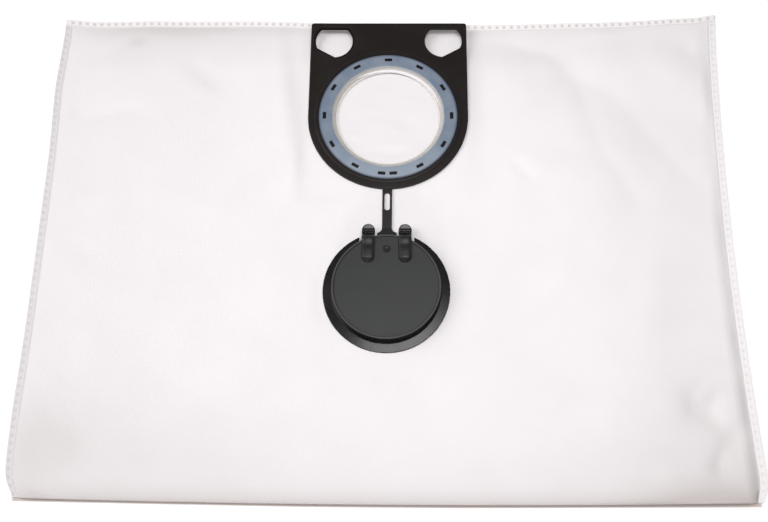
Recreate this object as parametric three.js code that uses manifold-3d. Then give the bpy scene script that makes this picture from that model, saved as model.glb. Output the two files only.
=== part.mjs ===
// Fleece dust bag for a wet and dry vacuum cleaner, lying flat with its port upwards.
// Millimetres, +Z up. The origin is on the floor, under the middle of the bag.
// +X runs along the long welded edge, +Y from the folded edge to the welded edge with the port.

import * as THREE from 'three';
import { mergeVertices } from 'three/addons/utils/BufferGeometryUtils.js';
import Module from 'manifold-3d';

const wasm = await Module();
wasm.setup();

// Bag
const bagWidth = 620;
const bagLength = 454;
const bagCrown = 10;
const plyThickness = 1.1;
const weldWidth = 7;
const weldThickness = 1.2;
const sideRise = 34;
const foldRadius = 2.6;
const foldTip = 0.5;
const foldRise = 46;
const topDrawIn = 6.4;
const rightDrawIn = 7;
const cavityInset = 12;
const cavityLeast = 0.3;
const seatMargin = 30;
const sheetStep = 28;

// Soft folds that the bag keeps from its packing: middle, direction, length, width and height
const softFolds = [
  { x: -215, y: -105, angle: 38, length: 60, width: 12, height: 0.9 },
  { x: -190, y: -150, angle: 52, length: 46, width: 10, height: -0.9 },
  { x: 262, y: -128, angle: 66, length: 62, width: 13, height: 1.1 },
  { x: 150, y: 168, angle: -32, length: 48, width: 12, height: 0.9 },
  { x: -258, y: 150, angle: -58, length: 40, width: 13, height: -1.1 },
  { x: 256, y: 140, angle: 58, length: 44, width: 14, height: -1.0 },
  { x: -150, y: 60, angle: 84, length: 70, width: 16, height: 0.7 },
  { x: 118, y: -150, angle: 8, length: 80, width: 15, height: 0.7 },
];

// Weld marks, pressed into the strip by a ribbed welding wheel
const markPitch = 6.9;
const markSize = 3.2;
const markDepth = 0.55;
const markFromEdge = 2.9;

// Holder plate
const seatGap = 0.3;
const plateWidth = 146;
const plateReach = 98;
const plateThickness = 2.2;
const plateEdgeRound = 0.7;
const plateCornerRadius = 2.5;
const portFromTop = 110.5;
const portRadius = 51;
const spigotWall = 1.4;
const spigotDepth = 1.6;
const fleeceHoleClearance = 0.5;
const collarWidth = 3.6;
const collarHeight = 0.7;

// Grip holes in the plate
const gripRadius = 17.3;
const gripSpacing = 102.2;
const gripTopMargin = 7.1;
const gripTopCut = 12.5;
const gripTipAngle = -87;
const gripFlankAngle = 207;
const gripLipWidth = 1.6;
const gripLipHeight = 0.5;

// Port seal
const sealOuterRadius = 63.4;
const sealThickness = 0.9;
const sealSeatDepth = 1.2;
const sealGap = 0.3;
const lipRadius = 45;
const lipDrop = 2.4;
const lipBead = 0.55;
const windowLength = 6;
const windowWidth = 2.8;
const windowOffset = 0.8;
const windowCount = 12;
const windowPairOffset = 5.2;

// Strap and its hinge line
const strapWidth = 8.6;
const strapThickness = 1.8;
const slotWidth = 4.8;
const slotLength = 16.8;
const slotTopBelowPlate = 3.7;
const hingeFromPlate = 11;
const hingeHeight = 0.7;
const hingeGap = 0.3;
const lidAngle = 0;
const flareWidth = 17.6;
const flareSetBack = 1.3;

// Closing lid
const lidRadius = 54.7;
const lidWall = 1.5;
const plugRadius = 46.4;
const plugDraft = 0.6;
const plugHeight = 15.2;
const ridgeWidth = 1.6;
const ridgeRound = 0.4;
const discSink = 1.4;
const rimEdge = 1.2;
const rimRise = 1;
const notchHalfWidth = 24;
const notchLedge = 0.6;
const gateRadius = 3;
const gateHeight = 1.4;
const gateInset = 21.1;

// Hooks of the lid
const hookSpacing = 31.8;
const hookWidth = 11.3;
const hookFootInset = 33.6;
const hookReach = 4;
const hookRise = 2;
const hookSaddle = 0.6;
const hookBevel = 1.4;
const hookCrown = 1.5;
const armThickness = 3;
const tongueLength = 7.3;
const tongueThickness = 1.7;
const tongueGap = 3.1;
const tongueStep = 2;
const tongueStepRise = 1;
const tongueTipLift = 1.6;

// Derived places
const portCentreY = bagLength / 2 - portFromTop;
const windowRadius = (sealOuterRadius + portRadius) / 2 + windowOffset;
const sheetLevel = bagCrown + seatGap;
const plateTop = sheetLevel + plateThickness;
const sealSeat = plateTop - sealSeatDepth;
const plateBottomY = portCentreY - plateWidth / 2;
const hingeY = plateBottomY - hingeFromPlate;
const hingeZ = sheetLevel + strapThickness + hingeHeight;
const lidCentreY = 2 * hingeY - portCentreY;

const fleece = new THREE.MeshStandardMaterial({ color: 0xf1edec, roughness: 0.9, metalness: 0 });
const blackPlastic = new THREE.MeshStandardMaterial({ color: 0x221f1e, roughness: 0.45, metalness: 0 });
const greyPlastic = new THREE.MeshStandardMaterial({ color: 0x3c3e3e, roughness: 0.42, metalness: 0 });
const milkyRubber = new THREE.MeshStandardMaterial({ color: 0xcfd3d2, roughness: 0.35, metalness: 0 });

// Facets of a full circle, of a small one and of a corner
const roundSteps = 60;
const smallSteps = 16;
const cornerSteps = 3;

// Solids, joins and cuts

function toSolid(geometry) {
  const bare = geometry.index ? geometry.clone() : geometry;
  bare.deleteAttribute('normal');
  bare.deleteAttribute('uv');
  const merged = mergeVertices(bare, 1e-4);
  const vertProperties = Float32Array.from(merged.attributes.position.array);
  const triVerts = Uint32Array.from(merged.index.array);
  return new wasm.Manifold(new wasm.Mesh({ numProp: 3, vertProperties, triVerts }));
}

function toMesh(solid, name, material) {
  const { vertProperties, triVerts } = solid.getMesh();
  const geometry = new THREE.BufferGeometry();
  geometry.setAttribute('position', new THREE.BufferAttribute(vertProperties, 3));
  geometry.setIndex(new THREE.BufferAttribute(triVerts, 1));
  geometry.computeVertexNormals();
  const mesh = new THREE.Mesh(geometry, material);
  mesh.name = name;
  return mesh;
}

function joined(solids) {
  return solids.reduce((whole, next) => whole.add(next));
}

// Points of an arc about a centre, angles in degrees
function arcPoints(x, y, radius, from, to, steps) {
  return Array.from({ length: steps + 1 }, (_, i) => {
    const angle = THREE.MathUtils.degToRad(from + (to - from) * i / steps);
    return new THREE.Vector2(x + radius * Math.cos(angle), y + radius * Math.sin(angle));
  });
}

function extruded(points, height, z, options = {}) {
  const geometry = new THREE.ExtrudeGeometry(new THREE.Shape(points), {
    depth: height,
    bevelEnabled: false,
    ...options,
  });
  return toSolid(geometry.translate(0, 0, z));
}

function roundedExtrusion(points, height, z, round) {
  return extruded(points, height - 2 * round, z + round, {
    bevelEnabled: true,
    bevelThickness: round,
    bevelSize: round,
    bevelOffset: -round,
    bevelSegments: 2,
  });
}

// A side outline, drawn as Y and Z, made as wide as asked and centred on X = 0
function extrudedAcross(points, width) {
  const geometry = new THREE.ExtrudeGeometry(new THREE.Shape(points), { depth: width, bevelEnabled: false });
  geometry.translate(0, 0, -width / 2);
  const axes = [new THREE.Vector3(0, 1, 0), new THREE.Vector3(0, 0, 1), new THREE.Vector3(1, 0, 0)];
  return toSolid(geometry.applyMatrix4(new THREE.Matrix4().makeBasis(...axes)));
}

// A cross-section, drawn as X and Z, made as long as asked from one end along Y
function extrudedAlong(points, length, fromY) {
  const geometry = new THREE.ExtrudeGeometry(new THREE.Shape(points), { depth: length, bevelEnabled: false });
  geometry.rotateX(Math.PI / 2).translate(0, fromY + length, 0);
  return toSolid(geometry);
}

function turned(points, x, y, z, steps = roundSteps) {
  const profile = points.map(([radius, height]) => new THREE.Vector2(radius, height));
  const geometry = new THREE.LatheGeometry(profile, steps);
  return toSolid(geometry.rotateX(Math.PI / 2).translate(x, y, z));
}

function block(width, length, height, x, y, z) {
  return toSolid(new THREE.BoxGeometry(width, length, height).translate(x, y, z));
}

function disc(radius, height, y, z) {
  const geometry = new THREE.CylinderGeometry(radius, radius, height, roundSteps);
  return toSolid(geometry.rotateX(Math.PI / 2).translate(0, y, z));
}

// Bag

function smooth(t) {
  const clamped = Math.min(Math.max(t, 0), 1);
  return clamped * clamped * (3 - 2 * clamped);
}

// Height of the folded edge at a distance from it: a round fold, then a soft rise to the crown
function foldHeight(distance) {
  const across = Math.max(foldRadius - distance, 0);
  const half = Math.max(Math.sqrt(Math.max(foldRadius ** 2 - across ** 2, 0)), foldTip);
  const rise = (bagCrown - 2 * foldRadius) * smooth((distance - foldRadius) / foldRise);
  return { upper: foldRadius + half + rise, lower: foldRadius - half };
}

function softFoldHeight(x, y) {
  let height = 0;
  for (const fold of softFolds) {
    const turn = THREE.MathUtils.degToRad(fold.angle);
    const along = (x - fold.x) * Math.cos(turn) + (y - fold.y) * Math.sin(turn);
    const across = (y - fold.y) * Math.cos(turn) - (x - fold.x) * Math.sin(turn);
    height += fold.height * Math.exp(-((along / fold.length) ** 2) - (across / fold.width) ** 2);
  }
  return height;
}

// 1 where the plate and the lid lie on the sheet, which stays flat there, and 0 away from them
function seatShare(x, y) {
  const plateX = Math.abs(x) - plateWidth / 2;
  const plateY = Math.max(plateBottomY - y, y - portCentreY - plateReach);
  const lid = Math.hypot(x, y - lidCentreY) - lidRadius;
  const strap = Math.max(Math.abs(x) - strapWidth, y - portCentreY, lidCentreY - y);
  const distance = Math.min(Math.max(plateX, plateY), lid, strap);
  return 1 - smooth(distance / seatMargin);
}

// Outer faces of the bag over a point of its flat outline
function sheetFaces(x, y) {
  const side = smooth((bagWidth / 2 - Math.abs(x) - weldWidth) / sideRise);
  const top = smooth((bagLength / 2 - y - weldWidth) / sideRise);
  const fold = foldHeight(y + bagLength / 2);
  const rise = side * top;
  const softness = rise * smooth((y + bagLength / 2) / foldRise) * (1 - seatShare(x, y));
  const upper = weldThickness + (fold.upper - weldThickness) * rise + softFoldHeight(x, y) * softness;
  return { upper, lower: fold.lower * side };
}

// The welded edges are drawn in between the corners, more the nearer a point lies to them
function drawnIn(x, y) {
  const alongX = 1 - (2 * x / bagWidth) ** 2;
  const alongY = 1 - (2 * y / bagLength) ** 2;
  return {
    x: x - rightDrawIn * alongY * (x / bagWidth + 0.5),
    y: y - topDrawIn * alongX * smooth(y / bagLength + 0.5),
  };
}

function evenPlaces(from, to) {
  const count = Math.max(Math.round((to - from) / sheetStep), 1);
  return Array.from({ length: count }, (_, i) => from + (to - from) * i / count);
}

function risePlaces(edge, inward, from) {
  const shares = [0, 0.12, 0.26, 0.42, 0.6, 0.8, 1];
  return shares.map((share) => edge + inward * (weldWidth + sideRise * share))
    .filter((place) => (place - edge) * inward >= from);
}

function foldPlaces(edge, from) {
  const near = [0, 0.15, 0.5, 1].map((share) => edge + foldRadius * share);
  const far = [0.12, 0.3, 0.52, 0.76, 1].map((share) => edge + foldRadius + foldRise * share);
  return [...near, ...far].filter((place) => place - edge >= from);
}

// A sheet body over a grid of places, with its own upper and lower face
function sheetBody(columns, rows, faces) {
  const geometry = new THREE.BoxGeometry(1, 1, 1, columns.length - 1, rows.length - 1, 1);
  const position = geometry.attributes.position;
  for (let i = 0; i < position.count; i += 1) {
    const column = Math.round((position.getX(i) + 0.5) * (columns.length - 1));
    const row = Math.round((position.getY(i) + 0.5) * (rows.length - 1));
    const face = faces(columns[column], rows[row]);
    const place = drawnIn(columns[column], rows[row]);
    position.setXYZ(i, place.x, place.y, position.getZ(i) > 0 ? face.upper : face.lower);
  }
  return toSolid(geometry);
}

function gridPlaces(inset) {
  const left = risePlaces(-bagWidth / 2, 1, inset);
  const right = risePlaces(bagWidth / 2, -1, inset).reverse();
  const top = risePlaces(bagLength / 2, -1, inset).reverse();
  const fold = foldPlaces(-bagLength / 2, inset > 0 ? plyThickness : 0);
  return {
    columns: [...left.slice(0, -1), ...evenPlaces(left.at(-1), right[0]), ...right],
    rows: [...fold.slice(0, -1), ...evenPlaces(fold.at(-1), top[0]), ...top],
  };
}

function bagSkin() {
  const { columns, rows } = gridPlaces(0);
  const edges = { columns: [-bagWidth / 2, ...columns, bagWidth / 2], rows: [...rows, bagLength / 2] };
  return sheetBody(edges.columns, edges.rows, sheetFaces);
}

function bagCavity() {
  const { columns, rows } = gridPlaces(weldWidth + cavityInset);
  const foldInside = -bagLength / 2 + plyThickness + foldTip;
  const inside = [foldInside, ...rows.filter((row) => row > foldInside + foldTip)];
  return sheetBody(columns, inside, (x, y) => {
    const outer = sheetFaces(x, y);
    const lower = outer.lower + plyThickness;
    return { upper: Math.max(outer.upper - plyThickness, lower + cavityLeast), lower };
  });
}

// An inverted pyramid, cut into the top of the strip
function weldMark(x, y) {
  const place = drawnIn(x, y);
  const cut = new THREE.ConeGeometry(markSize * Math.SQRT2, 2 * markDepth, 4);
  cut.rotateX(-Math.PI / 2).rotateZ(Math.PI / 4).translate(place.x, place.y, weldThickness);
  return toSolid(cut);
}

// Distances from the middle of an edge at which its marks lie
function markSteps(length) {
  const count = Math.floor((length / 2 - 2 * weldWidth) / markPitch);
  return Array.from({ length: 2 * count + 1 }, (_, i) => (i - count) * markPitch);
}

function weldMarks() {
  const top = markSteps(bagWidth).map((along) => weldMark(along, bagLength / 2 - markFromEdge));
  const sides = [-1, 1].flatMap((side) => {
    const x = side * (bagWidth / 2 - markFromEdge);
    return markSteps(bagLength).map((along) => weldMark(x, along));
  });
  return joined([...top, ...sides]);
}

function fleeceBag() {
  const holeRadius = portRadius + spigotWall + fleeceHoleClearance;
  const hole = disc(holeRadius, bagCrown, portCentreY, bagCrown);
  const solid = bagSkin().subtract(bagCavity()).subtract(hole).subtract(weldMarks());
  return toMesh(solid, 'fleece_bag', fleece);
}

// Holder plate

function plateOutline() {
  const half = plateWidth / 2;
  const top = portCentreY + plateReach;
  const corner = plateCornerRadius;
  return [
    ...arcPoints(0, portCentreY, half, 180, 360, roundSteps / 2),
    ...arcPoints(half - corner, top - corner, corner, 0, 90, cornerSteps),
    ...arcPoints(corner - half, top - corner, corner, 90, 180, cornerSteps),
  ];
}

// Round grip hole with a flat top and a straight flank towards the plate's outer side
function gripOutline(radius, side) {
  const centreX = side * gripSpacing / 2;
  const centreY = portCentreY + plateReach - gripTopMargin - gripTopCut;
  const topAngle = THREE.MathUtils.radToDeg(Math.asin(gripTopCut / gripRadius));
  const inner = arcPoints(0, centreY, radius, gripTipAngle, topAngle, smallSteps);
  const outer = arcPoints(0, centreY, radius, 180 - topAngle, gripFlankAngle, smallSteps / 2);
  return [...inner, ...outer].map((point) => new THREE.Vector2(centreX - side * point.x, point.y));
}

function gripHole(side) {
  const lipTop = plateThickness + gripLipHeight;
  return extruded(gripOutline(gripRadius, side), lipTop + 2 * seatGap, sheetLevel - seatGap);
}

function gripLip(side) {
  const outline = gripOutline(gripRadius + gripLipWidth, side);
  return extruded(outline, gripLipHeight + seatGap, plateTop - seatGap);
}

function strapBar(fromY, toY) {
  const length = Math.abs(toY - fromY);
  return block(strapWidth, length, strapThickness, 0, (fromY + toY) / 2, sheetLevel + strapThickness / 2);
}

function strapSlot() {
  const radius = slotWidth / 2;
  const upperY = plateBottomY - slotTopBelowPlate - radius;
  const lowerY = upperY - slotLength + slotWidth;
  const outline = [
    ...arcPoints(0, upperY, radius, 0, 180, smallSteps / 2),
    ...arcPoints(0, lowerY, radius, 180, 360, smallSteps / 2),
  ];
  return extruded(outline, 2 * strapThickness, sheetLevel - strapThickness / 2);
}

// Raised ring round the seal's seat, with a chamfered outer edge
function sealCollar() {
  const inner = sealOuterRadius + sealGap;
  const outer = inner + collarWidth;
  return turned([
    [inner, -seatGap],
    [outer, -seatGap],
    [outer, 0],
    [outer - collarHeight, collarHeight],
    [inner, collarHeight],
    [inner, -seatGap],
  ], 0, portCentreY, plateTop);
}

function holderPlate() {
  const body = roundedExtrusion(plateOutline(), plateThickness, sheetLevel, plateEdgeRound);
  const spigotHeight = spigotDepth + seatGap;
  const spigot = disc(portRadius + spigotWall, spigotHeight, portCentreY, sheetLevel + seatGap - spigotHeight / 2);
  const strap = strapBar(plateBottomY + 2 * plateEdgeRound, hingeY + hingeGap / 2);
  const seat = disc(sealOuterRadius + sealGap, plateThickness, portCentreY, sealSeat + plateThickness / 2);
  const port = disc(portRadius, 4 * plateThickness + spigotDepth, portCentreY, sheetLevel);
  const solid = joined([body, sealCollar(), spigot, strap, gripLip(-1), gripLip(1)])
    .subtract(joined([seat, port, strapSlot(), gripHole(-1), gripHole(1)]));
  return toMesh(solid, 'holder_plate', blackPlastic);
}

// Port seal

// A flat band in the plate's seat, with a soft lip that slopes down into the port
function sealRing() {
  const shoulder = portRadius - sealGap;
  const lipTop = sealThickness - lipDrop;
  return turned([
    [sealOuterRadius, 0],
    [sealOuterRadius, sealThickness],
    [shoulder, sealThickness],
    [lipRadius + lipBead, lipTop + lipBead],
    [lipRadius, lipTop],
    [lipRadius + lipBead, lipTop - lipBead],
    [shoulder, 0],
    [sealOuterRadius, 0],
  ], 0, portCentreY, sealSeat + sealGap);
}

function sealWindow(angle) {
  const cut = new THREE.BoxGeometry(windowWidth, windowLength, 4 * sealThickness);
  cut.translate(windowRadius, 0, sealSeat + sealGap).rotateZ(angle).translate(0, portCentreY, 0);
  return toSolid(cut);
}

// Windows at even steps from the top, with a pair where the strap leaves the plate
function windowAngles() {
  const step = 2 * Math.PI / windowCount;
  const strapAngle = -Math.PI / 2;
  const pair = windowPairOffset / windowRadius;
  const single = Array.from({ length: windowCount - 1 }, (_, i) => strapAngle + (i + 1) * step);
  return [strapAngle - pair, strapAngle + pair, ...single];
}

function portSeal() {
  const windows = joined(windowAngles().map(sealWindow));
  return toMesh(sealRing().subtract(windows), 'port_seal', milkyRubber);
}

// Closing lid

// An upturned cup: sloped rim, tall plug wall with a narrow ridge, and a disc sunk a little below it
function lidDish() {
  const discTop = plugHeight - discSink;
  const ridgeInner = plugRadius - ridgeWidth;
  const wallInner = plugRadius - lidWall;
  return turned([
    [0, discTop - lidWall],
    [wallInner - ridgeRound, discTop - lidWall],
    [wallInner, discTop - lidWall - ridgeRound],
    [wallInner + plugDraft, 0],
    [lidRadius, 0],
    [lidRadius, rimEdge],
    [plugRadius + plugDraft, rimEdge + rimRise],
    [plugRadius, plugHeight - ridgeRound],
    [plugRadius - ridgeRound, plugHeight],
    [ridgeInner + ridgeRound, plugHeight],
    [ridgeInner, plugHeight - ridgeRound],
    [ridgeInner, discTop],
    [0, discTop],
  ], 0, lidCentreY, sheetLevel);
}

// The rim is open on both sides of the strap, under the hooks
function rimNotch() {
  const middleY = lidCentreY + lidRadius;
  const opening = block(2 * notchHalfWidth, lidRadius, 4 * plugHeight, 0, middleY, sheetLevel);
  return opening.subtract(disc(plugRadius + plugDraft + notchLedge, 5 * plugHeight, lidCentreY, sheetLevel));
}

// The strap widens where it meets the dish
function strapFlare() {
  const footY = lidCentreY + plugRadius - lidWall / 2;
  const shoulderY = lidCentreY + lidRadius - flareSetBack;
  const half = strapWidth / 2;
  const wide = flareWidth / 2;
  const reach = wide - half;
  const right = arcPoints(wide, shoulderY + reach, reach, 270, 180, cornerSteps + 1);
  const left = right.map((point) => new THREE.Vector2(-point.x, point.y)).reverse();
  const foot = [new THREE.Vector2(-wide, footY), new THREE.Vector2(wide, footY)];
  return extruded([...foot, ...right, ...left], strapThickness, sheetLevel);
}

// From the disc the arm runs over the ridge, then down outside the wall to a tongue with a turned-up tip
function hookSide() {
  const footY = lidCentreY + lidRadius - hookFootInset;
  const tipY = lidCentreY + lidRadius + hookReach;
  const tongueY = tipY - tongueLength;
  const stepY = tongueY + tongueStep;
  const ridgeY = lidCentreY + hookRidgeInset();
  const ridgeTop = sheetLevel + plugHeight;
  const rootZ = ridgeTop - discSink - lidWall / 2;
  const top = ridgeTop + hookRise;
  const under = sheetLevel + rimEdge + rimRise + tongueGap;
  const tongue = under + tongueThickness;
  return [
    [footY, rootZ],
    [ridgeY - lidWall / 2, rootZ],
    [ridgeY, top - armThickness],
    [tongueY - tongueThickness, under],
    [stepY, under],
    [tipY, under + tongueTipLift],
    [tipY, tongue + tongueTipLift],
    [stepY + tongueStep, tongue + tongueStepRise],
    [stepY, tongue + tongueStepRise],
    [tongueY, tongue],
    [ridgeY + hookBevel / 2, top - hookBevel / 2],
    [ridgeY - hookBevel, top],
    [ridgeY - 4 * hookBevel, top - hookSaddle],
    [ridgeY - 8 * hookBevel, top],
    [footY + 2 * hookBevel, top],
    [footY + hookBevel / 2, top - hookBevel],
  ].map(([y, z]) => new THREE.Vector2(y, z));
}

// Where the plug's outer wall passes under a hook
function hookRidgeInset() {
  return Math.sqrt(plugRadius ** 2 - (hookSpacing / 2) ** 2);
}

// The arm has a barrel back as far as the ridge, and is flat outside it
function hookSection() {
  const half = hookWidth / 2;
  const bendY = lidCentreY + hookRidgeInset() + hookBevel / 2;
  const crown = sheetLevel + plugHeight + hookRise;
  const shoulder = crown - hookCrown;
  const section = Array.from({ length: smallSteps / 2 + 1 }, (_, i) => {
    const angle = Math.PI * i / (smallSteps / 2);
    return new THREE.Vector2(half * Math.cos(angle), shoulder + hookCrown * Math.sin(angle));
  });
  const foot = [new THREE.Vector2(-half, sheetLevel), new THREE.Vector2(half, sheetLevel)];
  const barrel = extrudedAlong([...section, ...foot], lidRadius, bendY - lidRadius);
  return barrel.add(block(2 * half, lidRadius, crown, 0, bendY + lidRadius / 2, crown / 2));
}

// One hook is what its side outline, its plan and its sections have in common
function lidHook(side) {
  const half = hookWidth / 2;
  const footY = lidCentreY + lidRadius - hookFootInset;
  const tipY = lidCentreY + lidRadius + hookReach;
  const plan = [
    ...arcPoints(0, footY + half, half, 180, 360, smallSteps / 2),
    ...arcPoints(0, tipY - half, half, 0, 180, smallSteps / 2),
  ];
  const height = sheetLevel + plugHeight + 2 * hookRise;
  return extrudedAcross(hookSide(), 2 * hookWidth)
    .intersect(extruded(plan, height, 0))
    .intersect(hookSection())
    .translate([side * hookSpacing / 2, 0, 0]);
}

// Stub left by the moulding gate, on the disc between the hooks
function gateStub() {
  const y = lidCentreY + lidRadius - gateInset;
  const z = sheetLevel + plugHeight - discSink - seatGap;
  return turned([
    [0, 0],
    [gateRadius, 0],
    [gateRadius, gateHeight * 0.6],
    [gateRadius * 0.7, gateHeight + seatGap],
    [0, gateHeight + seatGap],
  ], 0, y, z, smallSteps);
}

function closingLid() {
  const strap = strapBar(lidCentreY + lidRadius, hingeY - hingeGap / 2).subtract(strapSlot());
  const dish = lidDish().subtract(rimNotch());
  const solid = joined([dish, strapFlare(), strap, gateStub(), lidHook(-1), lidHook(1)]);
  return toMesh(solid, 'closing_lid', greyPlastic);
}

// The lid turns about the bend of the strap: at lidAngle 0 it lies open on the bag
function hingedLid() {
  const hinge = new THREE.Group();
  const lid = closingLid();
  hinge.position.set(0, hingeY, hingeZ);
  hinge.rotation.x = -THREE.MathUtils.degToRad(lidAngle);
  lid.position.set(0, -hingeY, -hingeZ);
  hinge.add(lid);
  return hinge;
}

const group = new THREE.Group();
group.add(fleeceBag(), holderPlate(), portSeal(), hingedLid());

export default group;
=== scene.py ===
# Fleece dust bag for a wet and dry vacuum cleaner, seen from above on a white floor
# Lengths in the dictionaries are millimetres, and angles are degrees

import math

import bmesh
import bpy
from mathutils import Matrix, Vector, noise


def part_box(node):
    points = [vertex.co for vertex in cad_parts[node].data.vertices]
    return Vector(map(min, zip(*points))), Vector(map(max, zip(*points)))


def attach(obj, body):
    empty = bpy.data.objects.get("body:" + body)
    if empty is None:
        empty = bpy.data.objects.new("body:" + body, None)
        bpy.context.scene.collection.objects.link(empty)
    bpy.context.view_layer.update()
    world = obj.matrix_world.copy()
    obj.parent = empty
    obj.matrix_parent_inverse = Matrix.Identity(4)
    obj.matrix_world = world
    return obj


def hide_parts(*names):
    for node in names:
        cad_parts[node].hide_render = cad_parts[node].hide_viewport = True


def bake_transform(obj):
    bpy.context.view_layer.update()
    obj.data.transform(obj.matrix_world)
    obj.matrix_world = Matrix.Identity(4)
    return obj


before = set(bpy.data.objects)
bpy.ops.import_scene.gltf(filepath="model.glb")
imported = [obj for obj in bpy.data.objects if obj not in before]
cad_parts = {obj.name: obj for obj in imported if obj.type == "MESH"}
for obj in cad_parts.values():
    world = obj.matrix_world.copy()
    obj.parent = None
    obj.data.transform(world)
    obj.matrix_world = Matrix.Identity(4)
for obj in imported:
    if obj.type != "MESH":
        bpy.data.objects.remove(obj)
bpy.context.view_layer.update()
mm = 0.001


def nodeBox(name):
    return [[value / mm for value in corner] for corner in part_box(name)]


bagLow, bagHigh = nodeBox("fleece_bag")
plateLow, plateHigh = nodeBox("holder_plate")
sealLow, sealHigh = nodeBox("port_seal")
lidLow, lidHigh = nodeBox("closing_lid")

# Places that the frame gives
bagWidth = bagHigh[0] - bagLow[0]
bagLength = bagHigh[1] - bagLow[1]
portY = (sealLow[1] + sealHigh[1]) / 2
sealRadius = (sealHigh[0] - sealLow[0]) / 2
plateHalf = (plateHigh[0] - plateLow[0]) / 2
plateTopY = plateHigh[1]
lidRadius = (lidHigh[0] - lidLow[0]) / 2
lidY = lidLow[1] + lidRadius
sheetLevel = lidLow[2]


# Shader helpers

def addNode(tree, kind, settings=None, values=None):
    # A value that is a socket is linked, and any other is set
    made = tree.nodes.new(kind)
    for key, value in (settings or {}).items():
        setattr(made, key, value)
    for key, value in (values or {}).items():
        if isinstance(value, bpy.types.NodeSocket):
            tree.links.new(value, made.inputs[key])
        else:
            made.inputs[key].default_value = value
    return made


def newMaterial(name):
    material = bpy.data.materials.new(name)
    material.use_nodes = True
    material.node_tree.nodes.clear()
    return material, material.node_tree


def addSurface(tree, values):
    surface = addNode(tree, "ShaderNodeBsdfPrincipled", None, values)
    addNode(tree, "ShaderNodeOutputMaterial", None, {"Surface": surface.outputs[0]})


def newGroup(name, inputs, outputs):
    group = bpy.data.node_groups.new(name, "ShaderNodeTree")
    for label, value in inputs.items():
        socket = group.interface.new_socket(label, in_out="INPUT", socket_type="NodeSocketFloat")
        socket.default_value = value
    for label in outputs:
        group.interface.new_socket(label, in_out="OUTPUT", socket_type="NodeSocketFloat")
    return group, addNode(group, "NodeGroupInput").outputs


def mathNode(tree, operation, *values):
    made = addNode(tree, "ShaderNodeMath", {"operation": operation}, dict(enumerate(values)))
    return made.outputs[0]


def useGroup(tree, group, values):
    return addNode(tree, "ShaderNodeGroup", {"node_tree": group}, values).outputs


def mixColors(tree, factor, first, second):
    mix = addNode(tree, "ShaderNodeMix", {"data_type": "RGBA"}, {"Factor": factor})
    sockets = [socket for socket in mix.inputs if socket.type == "RGBA"]
    for socket, value in zip(sockets, (first, second)):
        if isinstance(value, bpy.types.NodeSocket):
            tree.links.new(value, socket)
        else:
            socket.default_value = (*value, 1)
    return next(socket for socket in mix.outputs if socket.type == "RGBA")


def mapRange(tree, value, low, high, newLow=0, newHigh=1, kind="LINEAR"):
    values = {"Value": value, "From Min": low, "From Max": high}
    values.update({"To Min": newLow, "To Max": newHigh})
    made = addNode(tree, "ShaderNodeMapRange", {"interpolation_type": kind}, values)
    return made.outputs["Result"]


def fade(tree, value, start, end, most=1):
    # 0 at the start and most at the end, which are in millimetres
    return mapRange(tree, value, start * mm, end * mm, 0, most)


def placeParts(tree, source="Object"):
    # A place, and the sockets of its X, Y and Z
    place = addNode(tree, "ShaderNodeTexCoord").outputs[source]
    return place, addNode(tree, "ShaderNodeSeparateXYZ", None, {0: place}).outputs


def radiusFrom(tree, place, centreY):
    # Distance from an upright axis on the middle line
    values = {0: place, 1: (1, 1, 0), 2: (0, -centreY * mm, 0)}
    flat = addNode(tree, "ShaderNodeVectorMath", {"operation": "MULTIPLY_ADD"}, values)
    values = {0: flat.outputs[0]}
    return addNode(tree, "ShaderNodeVectorMath", {"operation": "LENGTH"}, values).outputs["Value"]


def addNoise(tree, place, scale, detail, roughness=0.5, distortion=0):
    values = {"Vector": place, "Scale": scale, "Detail": detail}
    values.update({"Roughness": roughness, "Distortion": distortion})
    return addNode(tree, "ShaderNodeTexNoise", None, values).outputs["Fac"]


def bumpFrom(tree, height, strength, depth):
    values = {"Height": height, "Strength": strength, "Distance": depth * mm}
    return addNode(tree, "ShaderNodeBump", None, values).outputs["Normal"]


# Camera, floor and light

viewPlan = {
    "targetX": -2.47,
    "targetY": -20.28,
    "distance": 881.96,
    "pitch": 70.01,
    "yaw": -2.89,
    "roll": -2.48,
    "focalPixels": 1005.9,
    "imageWidth": 768,
}

# Lamps are power, size and place; they and the floor's distances are in metres
lightPlan = {
    "world": 0.27,
    "worldColor": (1.0, 0.965, 0.955),
    "horizon": (0.3, 0.5),
    "lamps": {
        "side": (68.0, 2.4, (-2.9, 0.2, 2.9)),
        "over": (4.1, 0.4, (0.06, -0.01, 0.88)),
        "front": (6.0, 0.3, (-0.25, -2.0, 0.70)),
    },
    "floorGlow": (0.42, 1.0),
    "floorGrowth": (0.6, 1.2),
    "floorHalf": 200.0,
    "floorDrop": 0.0002,
    "floorColor": (0.80, 0.80, 0.80),
    # Painted shadow: the floor colour along the folded edge
    "paintedShadowColor": (0.62, 0.54, 0.51),
    "contactReach": 2.6,
    "contactCore": 0.4,
    "contactInset": 6.0,
    "contactBowFrom": 60.0,
}


def addObject(name, data):
    made = bpy.data.objects.new(name, data)
    bpy.context.collection.objects.link(made)
    return made


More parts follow.
